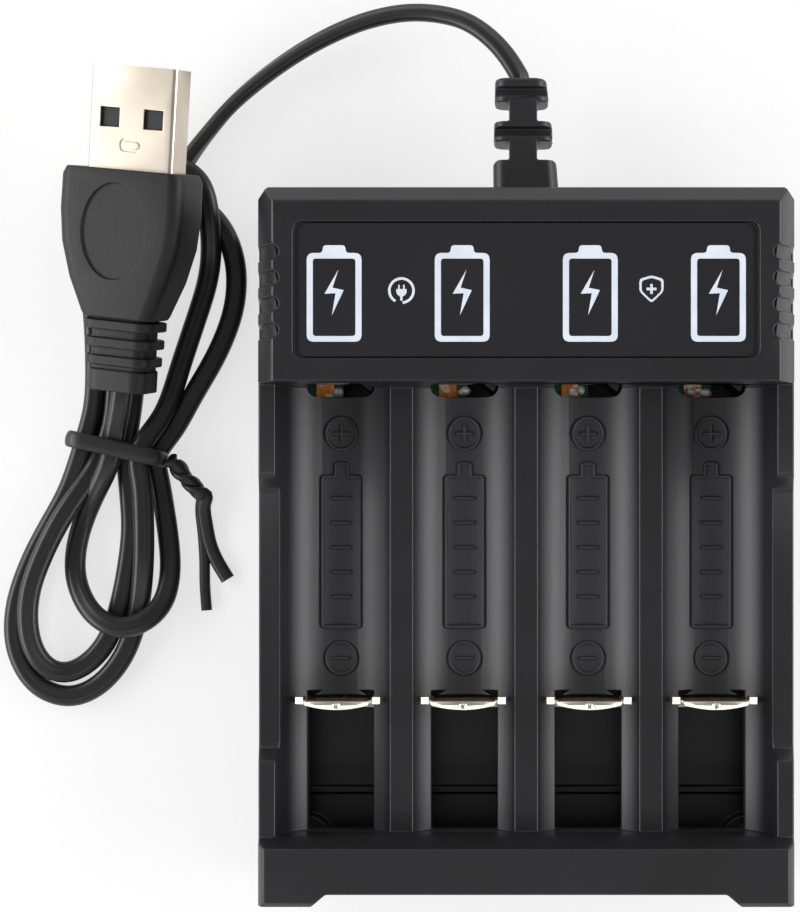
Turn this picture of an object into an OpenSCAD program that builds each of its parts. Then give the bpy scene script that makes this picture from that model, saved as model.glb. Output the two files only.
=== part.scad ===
// Battery charger for four AA or AAA cells, with a USB lead tied in a hank.
// Millimetres. +Y runs from the cells to the lead, +Z is up, and the case stands on Z = 0.

/* [Case] */
// Width at the parting line
body_w = 69; // [68:0.5:70]
// Length from the feet to the lead's end of the case
body_l = 90; // [90:0.5:92]
// Height of the head block
head_h = 22; // [22:0.5:23]
// Height of the parting line between the two shells
split_z = 10; // [9.8:0.1:10.4]
// Wall thickness of the shells
wall = 1.8; // [1.6:0.1:1.8]
// Width of the bevel round the top of the head
bevel = 2.1; // [1.8:0.1:2.3]
// Corner chamfer of the head, seen from above
corner = 2.2; // [2:0.1:3]

/* [Bays] */
// Distance between neighbouring cells
pitch = 16; // [16:0.1:16.2]
// Radius of the trough that a cell lies in
trough_r = 7.6; // [7.5:0.05:7.6]
// Height of the trough floors
floor_z = 9; // [8.9:0.1:9.1]
// Width of the ridges between the troughs
ridge_w = 3; // [2.6:0.1:3.2]
// Distance of the head's front wall from the middle of the case
head_front = 20.6; // [20.4:0.1:20.8]
// Distance of the base block's wall from the middle of the case
base_front = 36.5; // [36.3:0.1:36.7]
// Height of the side rails
rail_z = 17.5; // [17:0.1:18]
// Height of the finger dip in the side rails
dip_z = 14.5; // [14:0.1:15]
// Height of the base block
base_z = 20; // [19.5:0.1:20]

/* [Sliders] */
// Distance of the slider's face from the middle of the case, at rest
slider_rest = 19.4; // [19.2:0.1:19.6]
// Thickness of the contact sheet
sheet = 0.5; // [0.4:0.05:0.6]
// Half the width of the slot that a slider runs in
slot_half = 4.3; // [4.2:0.1:4.5]

/* [Lead] */
// Diameter of the cord
cord_d = 2.8; // [2.6:0.1:3]
// Length of the strain relief outside the case
relief_l = 15.2; // [15:0.1:15.4]

/* [Hidden] */
$fn = 48;

black = "#2b2b2d";
nickel = "#cfc8be";
copper = "#b8692f";

half_w = body_w / 2;
back_y = body_l / 2;
draft = 0.9;                              // the side leans in by this much up to the bevel
bevel_z = head_h - 3.2;                   // the side bevels are steeper than the one at the back
foot_y = -back_y;
foot_depth = 1.6;
foot_in = 27;
bay_x = [for (i = [0:3]) (i - 1.5) * pitch];
axis_z = floor_z + trough_r;
ridge_z = axis_z - sqrt(pow(trough_r, 2) - pow((pitch - ridge_w) / 2, 2));
rail_in = bay_x[3] + trough_r;            // inner face of the side rails
lean = 0.48;                              // how far the base wall leans back for each mm of height
slab_z = floor_z - 1.6;                   // underside of the bay floor
slab_half = half_w - wall - 0.3;
cave_half = half_w - wall - 1.3;          // inside of the upper shell
base_inside = -foot_y - foot_depth - base_front - 2 * wall;
panel_size = [57.8, 16.9];
panel_at = [0, 31.95];
led_x = [-23.8, -8, 8, 23.8];
led_y = 31;
board_z = 5.4;
board_t = 1.6;
board_y = [22.5, 36];
board_tab = 19.4;                         // how far its tabs reach into the windows
spring_z = 4.4;
spring_y = [-18.4, 14.4];
screw_at = [[-28, 40], [28, 40], [-29.2, -38.9], [29.2, -38.9]];
screw_seat = 2.6;
boss_z = 4.4;
exit_z = 10;

// The lead's route from the strain relief down to the hank, and from the hank to the plug.
lead_route = [
    [-0.75, 60.3, 10], [-1.1, 61.4, 10], [-2.6, 63.8, 9.7], [-4.8, 66.3, 9], [-8.5, 68.9, 7.8],
    [-14.5, 70.2, 6.1], [-20.5, 69.6, 4.7], [-26.5, 67.5, 3.5], [-32.6, 64.1, 2.5], [-38.7, 59.4, 1.8],
    [-42.5, 55.1, 1.6], [-44.9, 52, 1.5], [-46.8, 48.8, 1.5], [-48.6, 45.2, 1.5], [-49.8, 41.4, 1.5]
];
tail_route = [[-54.2, 15.4, 4.7], [-53.4, 18, 5.9], [-52.93, 20.58, 6.51], [-52.76, 22.54, 6.85]];
tie_at = [-54.2, 13, 0];
tie_turn = -12.6;
tie_wire = 1.4;
tie_tail_1 = [[-43.4, 7, 1.6], [-42.7, 4.4, 1], [-42.3, 0, 0.7], [-42.4, -4.4, 0.7], [-42.7, -8.6, 0.7]];
tie_tail_2 = [[-43, 6.8, 1.6], [-41.2, 3.4, 1.2], [-40, 0, 0.8], [-39.2, -4.4, 0.7]];
plug_at = [-50.1, 48.5, 11.5];
plug_turn = [9.8, -15.9, -4.8];           // pitch, roll and heading of the plug on the hank

// Extrudes a Y-Z outline along X, or an X-Z outline along Y, both about the middle.
module along_x(length) { rotate([90, 0, 90]) linear_extrude(length, center = true) children(); }
module along_y(length) { rotate([90, 0, 0]) linear_extrude(length, center = true) children(); }

// A rectangle with round corners, about the middle.
module round_rect(size, r) {
    square([size[0] - 2 * r, size[1]], center = true);
    square([size[0], size[1] - 2 * r], center = true);
    for (x = [-1, 1], y = [-1, 1])
        translate([x * (size[0] / 2 - r), y * (size[1] / 2 - r)]) circle(r);
}

// A thin slice of a moulding that runs along Y, at that distance.
module slice(y, size, r) {
    translate([0, y, 0]) along_y(0.02) round_rect(size, r, $fn = 32);
}

// Points on a smooth curve through the given ones, n to each stretch.
function curve_at(p, i, t) =
    let (a = p[max(i - 1, 0)], b = p[i], c = p[i + 1], d = p[min(i + 2, len(p) - 1)])
    0.5 * (2 * b + (c - a) * t + (2 * a - 5 * b + 4 * c - d) * t * t + (3 * b - a - 3 * c + d) * t * t * t);
function curve(p, n) = [for (i = [0:len(p) - 2], k = [0:n - 1]) curve_at(p, i, k / n), p[len(p) - 1]];

// A round tube swept along points that never run straight up.
module tube(points, d, sides = 8) {
    last = len(points) - 1;
    rings = [for (i = [0:last])
        let (t = points[min(i + 1, last)] - points[max(i - 1, 0)],
             side = cross(t, [0, 0, 1]) / norm(cross(t, [0, 0, 1])),
             up = cross(side, t) / norm(cross(side, t)))
        for (k = [0:sides - 1])
            let (a = 360 * (k + 0.5) / sides)
            points[i] + d / 2 * (cos(a) * side + sin(a) * up)];
    walls = [for (i = [0:last - 1], k = [0:sides - 1])
        let (j = (k + 1) % sides)
        [i * sides + k, i * sides + j, (i + 1) * sides + j, (i + 1) * sides + k]];
    ends = [[for (k = [sides - 1:-1:0]) k], [for (k = [0:sides - 1]) last * sides + k]];
    polyhedron(rings, concat(walls, ends), convexity = 6);
}

// Outline of the case from above: chamfered head, two feet with ramps between them.
module case_outline() {
    right = [
        [half_w - corner, back_y], [half_w, back_y - corner], [half_w, foot_y + 0.8],
        [half_w - 0.8, foot_y], [foot_in, foot_y], [foot_in - 1.9, foot_y + foot_depth]
    ];
    left = [for (i = [len(right) - 1:-1:0]) [-right[i][0], right[i][1]]];
    polygon(concat(right, left));
}

// Side view of the upper shell: base block, rails with the finger dip, bevelled head.
module upper_side() {
    polygon([
        [foot_y, split_z], [foot_y, base_z - 0.6], [foot_y + 0.6, base_z],
        [-base_front - lean * (base_z - rail_z), base_z], [-base_front, rail_z],
        [-27.6, rail_z], [-26.9, rail_z - 0.3], [-25.5, dip_z + 0.4], [-24.7, dip_z],
        [6.8, dip_z], [7.5, dip_z + 0.4], [8.9, rail_z - 0.3], [9.6, rail_z],
        [head_front, rail_z], [head_front, head_h], [back_y - 2, head_h],
        [back_y, head_h - 2], [back_y, split_z]
    ]);
}

// Front view of the upper shell, taken in by that much.
module upper_front(inset = 0) {
    polygon([
        [-half_w + inset, split_z], [half_w - inset, split_z],
        [half_w - draft - inset, bevel_z - 0.3 * inset],
        [half_w - draft - bevel - 0.54 * inset, head_h - inset],
        [-half_w + draft + bevel + 0.54 * inset, head_h - inset],
        [-half_w + draft + inset, bevel_z - 0.3 * inset]
    ]);
}

module upper_outer() {
    difference() {
        intersection() {
            linear_extrude(head_h + 1) case_outline();
            along_x(body_w + 2) upper_side();
            along_y(body_l + 2) upper_front();
        }
        // small bevels along the sides of the base block
        for (side = [-1, 1])
            translate([side * (half_w - draft), -41.5, base_z]) rotate([0, 45, 0])
                cube([1.2, 12, 1.2], center = true);
    }
}

// The open space above the troughs, up from a height and out to a half width.
module bay_space(z, half) {
    top = head_h + 1;
    along_x(2 * half) polygon([
        [-base_front, z], [-base_front, rail_z], [-base_front - lean * (top - rail_z), top],
        [head_front, top], [head_front, z]
    ]);
}

module bays() {
    bay_space(ridge_z, bay_x[3]);
    bay_space(axis_z, rail_in);
    for (x = bay_x) {
        translate([x, (head_front - base_front) / 2, axis_z])
            rotate([90, 0, 0]) cylinder(h = head_front + base_front, r = trough_r, center = true);
        // the slider's slot, with its front corners cut back
        translate([x - slot_half, -base_front, slab_z - 1]) cube([2 * slot_half, base_front - 19.1, 6]);
        for (side = [0, 1])
            translate([x, 0, slab_z - 1]) mirror([side, 0, 0]) linear_extrude(6)
                polygon([[2.4, -18.5], [3.8, -19.3], [slot_half, -19.3], [slot_half, -18.5]]);
        // the contact's window in the floor and the head's front wall
        intersection() {
            translate([x, 24, 0]) along_y(12) {
                translate([-4.35, slab_z - 1]) square([8.7, 14.25 - slab_z + 1]);
                translate([0, 14.25]) circle(4.35);
            }
            translate([x, 22, 0]) linear_extrude(20) round_rect([8.7, 5], 1.2);
        }
    }
}

// One groove of the grip: round ended from above, and even in depth over the bevel.
module grip_groove(y) {
    difference() {
        translate([0, y, 12.6]) linear_extrude(12) {
            translate([31.6, 0]) circle(0.9);
            translate([31.6, -0.9]) square([6, 1.8]);
        }
        along_y(body_l + 4) upper_front(0.4);
    }
}

module upper_housing() {
    color(black) difference() {
        union() {
            difference() {
                union() {
                    upper_outer();
                    translate([-slab_half, -base_front - wall, slab_z])
                        cube([2 * slab_half, head_front + base_front + 2 * wall, split_z - slab_z + 1]);
                }
                translate([-cave_half, head_front + wall, slab_z - 1])
                    cube([2 * cave_half, back_y - head_front - 2 * wall, head_h - slab_z + 1 - wall]);
                translate([-cave_half, foot_y + foot_depth + wall, slab_z - 1])
                    cube([2 * cave_half, base_inside, base_z - slab_z + 1 - wall]);
            }
            for (s = screw_at)
                translate([s[0], s[1], boss_z])
                    cylinder(h = (s[1] > 0 ? head_h : base_z) - wall - boss_z + 0.2, r = 2.8);
        }
        bays();
        for (s = screw_at)
            translate([s[0], s[1], boss_z - 1]) cylinder(h = 9.6, r = 1.2);
        translate([panel_at[0], panel_at[1], head_h - 0.5]) linear_extrude(2) round_rect(panel_size, 1.2);
        for (x = led_x)
            translate([x, led_y, head_h - wall - 1]) linear_extrude(4) round_rect([4.4, 8.4], 1.6);
        for (i = [0:3], side = [0, 1])
            mirror([side, 0, 0]) grip_groove(26.95 + 3.25 * i);
        translate([-3.1, back_y - 4, split_z - 1]) cube([6.2, 8, 4.1]);
    }
}

module lower_housing() {
    bottom_side = [
        [foot_y + 1.6, 0], [back_y - 1.2, 0], [back_y - 0.2, 1], [back_y, split_z],
        [foot_y, split_z], [foot_y + 0.6, 1]
    ];
    bottom_front = [
        [-half_w + 1.6, 0], [half_w - 1.6, 0], [half_w - 0.6, 1], [half_w, split_z],
        [-half_w, split_z], [-half_w + 0.6, 1]
    ];
    color(black) difference() {
        union() {
            difference() {
                intersection() {
                    linear_extrude(split_z) case_outline();
                    along_x(body_w + 2) polygon(bottom_side);
                    along_y(body_l + 2) polygon(bottom_front);
                }
                translate([-half_w + wall, foot_y + foot_depth + wall, wall])
                    cube([body_w - 2 * wall, body_l - foot_depth - 2 * wall, split_z]);
            }
            for (s = screw_at)
                translate([s[0], s[1], 0.5]) cylinder(h = boss_z - 0.5, r = 3.6);
            for (x = [-16, 16], y = [25, 34])
                translate([x, y, wall - 0.2]) cylinder(h = board_z - wall + 0.2, r = 1.8);
            translate([-half_w + wall - 0.2, -32.7, wall - 0.2]) cube([body_w - 2 * wall + 0.4, 1, 0.8]);
            // gussets under the windows
            for (x = bay_x) translate([x, 0, wall - 0.2]) linear_extrude(7.6)
                polygon([[1.9, 21.8], [3.9, 20.1], [4.2, 20.7], [4.2, 21.8]]);
        }
        for (s = screw_at) translate([s[0], s[1], -1]) {
            cylinder(h = screw_seat + 1, r = 2.8);
            cylinder(h = 8, r = 1.5);
        }
        translate([-3.1, back_y - 4, split_z - 3.1]) cube([6.2, 8, 4]);
        // the shadow gap along the parting line
        translate([0, 0, split_z - 0.4]) linear_extrude(1) difference() {
            square([body_w + 20, body_l + 20], center = true);
            scale([1 - 0.35 / half_w, 1 - 0.35 / back_y]) case_outline();
        }
    }
}

module label_panel() {
    color("#1d1e21") translate([panel_at[0], panel_at[1], head_h - 0.5])
        linear_extrude(0.4) round_rect(panel_size - [1.5, 0.4], 1.1);
}

module circuit_board() {
    color("#0a5f46") difference() {
        union() {
            translate([-30.5, board_y[0], board_z]) cube([61, board_y[1] - board_y[0], board_t]);
            for (x = bay_x)
                translate([x - 4.4, board_tab, board_z]) cube([4.5, board_y[0] - board_tab + 0.5, board_t]);
        }
        for (x = led_x, side = [-1.27, 1.27])
            translate([x + side, led_y, board_z - 1]) cylinder(h = 4, r = 0.4);
        translate([-3, 34, board_z - 1]) cube([6, 4, 4]);
    }
}

// Four charge controllers with their legs, a coil and two capacitors.
module charge_chips() {
    top = board_z + board_t;
    color("#202022") {
        for (x = [-16, -2, 12, 24]) translate([x, 27, top]) {
            translate([-2.45, -1.95, 0.15]) cube([4.9, 3.9, 1.45]);
            for (i = [0:3], side = [-1, 1])
                translate([-1.9 + 1.27 * i - 0.2, side * 2.4 - 0.6, 0]) cube([0.4, 1.2, 0.4]);
        }
        translate([13.4, 32.6, top]) cylinder(h = 3.6, r = 3);
        for (x = [-14.4, -17.8]) translate([x, 33, top]) cube([1.6, 1.2, 1]);
    }
}

module led(i) {
    color("#e9e4d6") translate([led_x[i], led_y, 0]) {
        translate([0, 0, 13.4]) cylinder(h = 1, r = 1.9);
        translate([0, 0, 13.4]) cylinder(h = 4, r = 1.5);
        translate([0, 0, 17.4]) sphere(1.5);
        for (side = [-1.27, 1.27])
            translate([side, 0, board_z - 0.4]) cylinder(h = 8.2, r = 0.25);
    }
}

// A bronze leaf: a foot on the board, a riser behind the wall, and a pressed nub for the cell.
module positive_contact(i) {
    top = board_z + board_t;
    color(copper) translate([bay_x[i], 0, 0]) difference() {
        union() {
            translate([-3.4, board_tab + 0.2, top]) cube([2.3, 2, 0.3]);
            translate([-3.4, head_front + 0.6, top]) cube([2.3, sheet, 5]);
            translate([0, head_front + 0.6 + sheet, 0]) rotate([90, 0, 0]) linear_extrude(sheet) {
                translate([-3.5, 11]) square([7, 3.8]);
                translate([0, 14.8]) circle(3.5);
            }
            translate([0, head_front + 0.7, 15.2]) rotate([90, 0, 0]) cylinder(h = 0.5, r1 = 2, r2 = 1.5);
        }
        translate([0, head_front + 1.2, 15.2]) rotate([90, 0, 0]) cylinder(h = 0.6, r1 = 1.6, r2 = 1.1);
    }
}

// A nickel slider: arched face with a crescent lip, two ears, a neck through the slot and a foot.
module slider_contact(i) {
    color(nickel) translate([bay_x[i], -slider_rest, 0]) {
        difference() {
            union() {
                rotate([90, 0, 0]) linear_extrude(sheet) intersection() {
                    translate([-4.1, 6.5]) square([8.2, 12]);
                    translate([0, -22.9]) circle(40, $fn = 192);
                }
                // the lip bends back and down from the top edge and is widest in the middle
                translate([0, 0, 16.6]) rotate([12, 0, 0]) linear_extrude(sheet) intersection() {
                    translate([-4, -1.2]) square([8, 1.2]);
                    translate([0, 12.57]) circle(13.65, $fn = 96);
                }
                for (side = [0, 1]) mirror([side, 0, 0]) {
                    translate([4, -sheet, 11.8]) cube([1, sheet, 2.8]);
                    translate([4.9, 0, 0]) along_x(1)
                        polygon([[0.4, 11.8], [0.4, 14.9], [-0.6, 14.68], [-0.6, 11.8]]);
                }
                translate([-5.8, -1.5, 6.5]) cube([11.6, 1.5, 0.6]);
                translate([-1, -sheet, 2.8]) cube([2, sheet, 4]);
            }
            translate([0, 1, spring_z - 0.4]) rotate([90, 0, 0]) cylinder(h = 3, r = 0.5);
            translate([0, 0.85, 12.6]) sphere(1.1);
            translate([0, -0.62, 17.52]) rotate([90, 0, 0]) sphere(0.7);
        }
    }
}

// A close-wound tension spring under the bay floor, with a straight wire at each end.
module slider_spring(i) {
    turns = 40;
    wire = (spring_y[1] - spring_y[0]) / turns;
    color(nickel) translate([bay_x[i], spring_y[0], spring_z]) rotate([-90, 0, 0]) {
        rotate_extrude() polygon(concat(
            [[1, 0]],
            [for (k = [0:turns - 1], s = [[1.5, 0.1], [1.75, 0.5], [1.5, 0.9]]) [s[0], wire * (k + s[1])]],
            [[1, wire * turns]]
        ));
        translate([0, 0, -0.8]) cylinder(h = 0.9, r = 1.2);
        translate([0, 0, wire * turns - 0.2]) cylinder(h = 0.9, r = 1.2);
    }
}

module spring_terminals() {
    color(nickel) for (x = bay_x) {
        translate([x - 1.5, spring_y[1] + 0.8, board_z - sheet]) cube([1.6, 9.4, sheet]);
        translate([x - 1.5, spring_y[1] + 0.8, spring_z - 1.6]) cube([3, sheet, board_z - spring_z + 1.6]);
    }
}

module power_wires() {
    wire_end = board_z + board_t + 0.6;
    color("#b3302a") for (side = [-1, 1])
        tube(curve([
            [side * 0.9, back_y - 3.75, exit_z], [side * 0.9, back_y - 4.9, exit_z],
            [side * 2.6, back_y - 7.4, 8.8], [side * 4.4, back_y - 9.6, wire_end],
            [side * 5, back_y - 12.4, wire_end]
        ], 2), 1.1);
}

module housing_screws() {
    color("#77787a") for (s = screw_at) translate([s[0], s[1], 0]) difference() {
        union() {
            translate([0, 0, 0.6]) cylinder(h = screw_seat - 0.6, r = 2.5);
            cylinder(h = 11, r = 1.15);
        }
        translate([0, 0, -1]) cylinder(h = 1.6, r = 2);
        for (a = [0, 90]) rotate(a) translate([-1.5, -0.35, 0]) cube([3, 0.7, 1.6]);
    }
}

// Slotted boot: side gaps and top cuts take turns, so that it bends both ways. It leans with the cord's pull.
module strain_relief() {
    tip = back_y + relief_l;
    color(black) {
        difference() {
            intersection() {
                translate([0, 0, exit_z]) hull() {
                    slice(back_y + 0.02, [8.4, 7.2], 1.6);
                    translate([-0.15, 0, 0]) slice(back_y + 3.4, [8.2, 7], 1.6);
                    translate([-0.7, 0, 0]) slice(tip - 0.3, [6.6, 6], 1.6);
                    translate([-0.75, 0, 0]) slice(tip, [6, 5.4], 1.4);
                }
                linear_extrude(2 * exit_z) {
                    translate([-2.2, back_y]) square([3.6, relief_l + 1]);
                    translate([-0.1, 46.3]) round_rect([8.4, 6.6], 0.9);
                    translate([-0.45, 53.3]) round_rect([7.6, 2.6], 0.5);
                    translate([-0.65, 58.9]) round_rect([7, 3.6], 0.5);
                }
            }
            for (y = [52.7, 57.9], side = [-1, 1])
                translate([-6, y, exit_z + side * 4.9 - 3]) cube([12, 1.1, 6]);
        }
        translate([-3, back_y - wall - 0.2, exit_z - 3]) cube([6, wall + 0.3, 6]);
        translate([-4.2, back_y - wall - 1.8, exit_z - 3]) cube([8.4, 1.6, 6]);
    }
}

module cord_lead() { color(black) tube(curve(lead_route, 2), cord_d); }

// The outer shape of the tied hank: a flat upper lobe under the plug and a thicker lower lobe.
module cord_hank() {
    color(black) difference() {
        union() {
            linear_extrude(cord_d) hull() {
                translate([-54.2, 15.5]) circle(5.6);
                translate([-53.5, 44.6]) circle(5.6);
                translate([-43, 38.4]) circle(5.6);
            }
            linear_extrude(2 * cord_d) hull() {
                translate([-54.2, 10]) circle(5.6);
                translate([-54, -3.5]) circle(7.8);
                translate([-61.2, -12.4]) circle(8.9);
            }
        }
        translate([tie_at[0], tie_at[1], 0]) rotate(tie_turn)
            translate([-8, -1.3, -1]) cube([16, 2.6, 1.8]);
    }
}

module cord_tail() { color(black) tube(curve(tail_route, 2), cord_d); }

module twist_tie() {
    color(black) {
        translate(tie_at) rotate(tie_turn) translate([0, 0, 3.4]) along_y(2) difference() {
            round_rect([13.4, 6.6], 2.4);
            round_rect([12, 5.3], 0.5);
        }
        translate([-47.3, 11.5, 2.8]) rotate([0, 0, -46]) rotate([0, 98, 0])
            linear_extrude(6.6, twist = -1080, slices = 36, $fn = 8) {
                translate([0.62, 0]) circle(0.7);
                translate([-0.62, 0]) circle(0.7);
            }
        tube(curve(tie_tail_1, 2), tie_wire);
        tube(curve(tie_tail_2, 2), tie_wire);
    }
}

// Puts the plug, which is modelled with its shell along +Y from the grip's face, on the hank.
module on_hank() {
    translate(plug_at) rotate([0, 0, plug_turn[2]]) rotate([plug_turn[0], 0, 0]) rotate([0, plug_turn[1], 0])
        children();
}

module plug_grip() {
    ribs = [19.9, 22.2, 24.5];
    color(black) on_hank() difference() {
        translate([-0.5, 0, 0]) {
            hull() {
                slice(0, [16.2, 7.6], 1.6);
                slice(-1, [17.1, 8.2], 1.8);
                slice(-5.4, [17.3, 8.2], 1.8);
                slice(-9.6, [16.5, 8.2], 1.8);
                slice(-14, [14, 8.2], 1.8);
                slice(-18.4, [10.6, 7.2], 1.8);
                slice(-19, [10, 6.8], 1.8);
            }
            translate([0, -23.2, 0]) along_y(9.2) round_rect([8, 5.2], 1.6, $fn = 32);
            for (k = [0:2])
                translate([0, -ribs[k], 0]) along_y(1.2)
                    round_rect([10 - 0.3 * k, 6.8 - 0.2 * k], 2, $fn = 32);
            translate([0, -27.1, 0]) along_y(2.8) round_rect([8.5, 6], 2, $fn = 32);
        }
        translate([0, -2.5, 0]) along_y(8) round_rect([12.05, 4.55], 0.6, $fn = 32);
        translate([-0.9, -7.85, 3.75]) scale([1, 1.36, 1]) cylinder(h = 3, r = 4.5);
        translate([-0.5, -27, 0]) along_y(8) circle(cord_d / 2 + 0.2, $fn = 32);
    }
}

module plug_shell() {
    color(nickel) on_hank() difference() {
        translate([0, 3.4, 0]) along_y(19.2) round_rect([12, 4.5], 0.6);
        translate([0, 4.4, 0]) along_y(20) round_rect([11.4, 3.9], 0.35);
        for (x = [-3.05, 3.05])
            translate([x - 1.35, 5.25, -4]) cube([2.7, 2.5, 8]);
        // the stamped mark, an oblong groove
        translate([0, 3.1, 2.05]) linear_extrude(1) difference() {
            round_rect([3, 1.6], 0.7);
            round_rect([2.3, 0.9], 0.4);
        }
    }
}

// The tongue lies along the upper side of the shell, with its pins facing down.
module plug_tongue() {
    color("#1a1a1c") on_hank() {
        translate([-5.5, -4.8, -1.8]) cube([11, 5, 3.6]);
        translate([-5.5, 0, 0.1]) cube([11, 11.8, 1.7]);
    }
}

module plug_pins() {
    color("#c9a24a") on_hank() for (k = [0:3])
        translate([-4 + 2.5 * k + (k == 0 || k == 3 ? 0 : (k == 1 ? 0.25 : -0.25)), 0.4, -0.15])
            cube([1, k == 0 || k == 3 ? 10.6 : 9.6, 0.25]);
}

upper_housing();
lower_housing();
label_panel();
circuit_board();
charge_chips();
for (i = [0:3]) {
    led(i);
    positive_contact(i);
    slider_contact(i);
    slider_spring(i);
}
spring_terminals();
power_wires();
housing_screws();
strain_relief();
cord_lead();
cord_hank();
cord_tail();
twist_tie();
plug_grip();
plug_shell();
plug_tongue();
plug_pins();
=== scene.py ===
"""A flat charger for four AA or AAA cells with its supply lead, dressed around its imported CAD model."""
import math

import bmesh
import bpy
from mathutils import Matrix, Vector
from mathutils.bvhtree import BVHTree


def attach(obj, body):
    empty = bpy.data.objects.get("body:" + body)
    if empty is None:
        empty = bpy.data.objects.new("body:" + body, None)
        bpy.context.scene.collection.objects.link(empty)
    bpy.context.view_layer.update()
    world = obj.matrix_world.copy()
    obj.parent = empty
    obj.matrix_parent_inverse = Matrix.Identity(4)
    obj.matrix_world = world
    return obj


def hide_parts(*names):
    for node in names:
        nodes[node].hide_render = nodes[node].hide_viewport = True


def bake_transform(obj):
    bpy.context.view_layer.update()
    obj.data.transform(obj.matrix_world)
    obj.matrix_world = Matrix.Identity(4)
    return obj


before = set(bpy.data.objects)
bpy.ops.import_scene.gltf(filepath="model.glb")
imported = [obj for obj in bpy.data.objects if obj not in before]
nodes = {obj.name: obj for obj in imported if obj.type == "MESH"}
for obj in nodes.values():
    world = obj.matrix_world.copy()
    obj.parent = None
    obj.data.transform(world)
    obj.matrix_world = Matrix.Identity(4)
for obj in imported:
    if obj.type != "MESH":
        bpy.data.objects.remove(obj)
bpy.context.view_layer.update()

# Lower shell: the tray that everything is laid into, injection moulded in black ABS with a fine eroded grain.
# Four dark zinc screws go up through it into the bosses of the upper shell.
# Bare sizes and places in this file are millimetres, and become metres where they are used.
mm = 0.001
lower_edge = 0.25 * mm


def linear(code):
    """An sRGB hex colour as linear RGBA."""
    parts = [int(code[i:i + 2], 16) / 255 for i in (1, 3, 5)]
    return (*[c / 12.92 if c <= 0.04045 else ((c + 0.055) / 1.055) ** 2.4 for c in parts], 1)


def link(tree, node, sockets):
    """Sets a node's sockets to values, or links them to a socket or to another node's first output."""
    for name, value in sockets.items():
        source = value.outputs[0] if isinstance(value, bpy.types.Node) else value
        if isinstance(source, bpy.types.NodeSocket):
            tree.links.new(source, node.inputs[name])
        else:
            node.inputs[name].default_value = source


def add(tree, kind, sockets=None, **settings):
    """Adds a node with its settings, and sets or links its sockets."""
    made = tree.nodes.new(kind)
    for name, value in settings.items():
        setattr(made, name, value)
    link(tree, made, sockets or {})
    return made


def finish_of(name, dark, pale, patch, grain, depth, rough, **fixed):
    """A moulded or plated finish: two close tones in soft patches, paler on rubbed edges, and a grain that
    breaks the gloss over a range of roughness. Fixed values go on the shader's own sockets.
    A pixel is about 0.13 mm, so a grain that is finer in the real material is drawn coarse enough to show."""
    material = bpy.data.materials.new(name)
    material.use_nodes = True
    tree = material.node_tree
    shader = tree.nodes["Principled BSDF"]
    place = add(tree, "ShaderNodeTexCoord").outputs["Object"]
    clouds = add(tree, "ShaderNodeTexNoise", {"Vector": place, "Scale": 1 / patch, "Detail": 3})
    rubbed = add(tree, "ShaderNodeAttribute", attribute_name="rubbed").outputs["Fac"]
    worn = add(tree, "ShaderNodeMath", {0: rubbed, 1: 0.3, 2: clouds}, operation="MULTIPLY_ADD")
    tones = add(tree, "ShaderNodeValToRGB", {"Fac": worn})
    for stop, position, code in zip(tones.color_ramp.elements, (0.3, 0.7), (dark, pale)):
        stop.position, stop.color = position, linear(code)
    grit = add(tree, "ShaderNodeTexNoise", {"Vector": place, "Scale": 1 / grain, "Detail": 2})
    gloss = add(tree, "ShaderNodeMapRange", {"Value": grit, "To Min": rough[0], "To Max": rough[1]})
    relief = add(tree, "ShaderNodeBump", {"Height": grit, "Strength": 0.5, "Distance": depth})
    link(tree, shader, {"Base Color": tones, "Roughness": gloss, "Normal": relief, **fixed})
    return material


def feed(shader, socket):
    """The output that already feeds a shader's socket."""
    return shader.inputs[socket].links[0].from_socket


# Black ABS keeps a satin bloom: the grain is about 0.2 mm, drawn at 0.3 mm so that it shows.
black_abs = finish_of(
    "black_abs_moulded", "#1a1a1c", "#212124", 14 * mm, 0.3 * mm, 0.02 * mm, (0.28, 0.38), IOR=1.53)

# In the bays the mould's grain is coarser, so the plastic spreads the light further. Its colour there is also
# painted paler, a painted brightening that stands for the light falling into the troughs. The grain and the
# painted light end at the inner faces of the rails, at the ridge tops and at the bay floors.
rail_inside, ridge_top, bay_floor = (30.8, 31.4), (11.4, 12.6), (8.2, 8.8)
fades_out, fades_in = (1.0, 0.0), (0.0, 1.0)
bay_roughness, bay_painted_light = 0.1, 0.7
tree = black_abs.node_tree
shader = tree.nodes["Principled BSDF"]
place = add(tree, "ShaderNodeTexCoord").outputs["Object"]
spot = add(tree, "ShaderNodeSeparateXYZ", {"Vector": place}).outputs
off_middle = add(tree, "ShaderNodeMath", {0: spot["X"]}, operation="ABSOLUTE")
in_bay = 1.0
for where, (start, end), (before, after) in (
        (off_middle, rail_inside, fades_out),
        (spot["Z"], ridge_top, fades_out),
        (spot["Z"], bay_floor, fades_in)):
    limit = add(tree, "ShaderNodeMapRange", {
        "Value": where, "From Min": start * mm, "From Max": end * mm, "To Min": before, "To Max": after})
    in_bay = add(tree, "ShaderNodeMath", {0: in_bay, 1: limit}, operation="MULTIPLY")
coarse = add(tree, "ShaderNodeMath", {
    0: in_bay, 1: bay_roughness, 2: feed(shader, "Roughness")}, operation="MULTIPLY_ADD")
# Painted light: in the bays the colour is mixed towards a paler grey, a painted brightening of the troughs.
share = add(tree, "ShaderNodeMath", {0: in_bay, 1: bay_painted_light}, operation="MULTIPLY")
paler = add(tree, "ShaderNodeMix", data_type="RGBA")
link(tree, paler, {"Factor": share, "A": feed(shader, "Base Color"), "B": linear("#38383c")})
link(tree, shader, {"Roughness": coarse, "Base Color": paler.outputs["Result"]})

# Blackened zinc is a dull dark metal.
zinc_screw = finish_of(
    "black_zinc_screw", "#3a3a3c", "#56565a", 2 * mm, 0.2 * mm, 0.01 * mm, (0.3, 0.45), Metallic=1.0)


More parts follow.
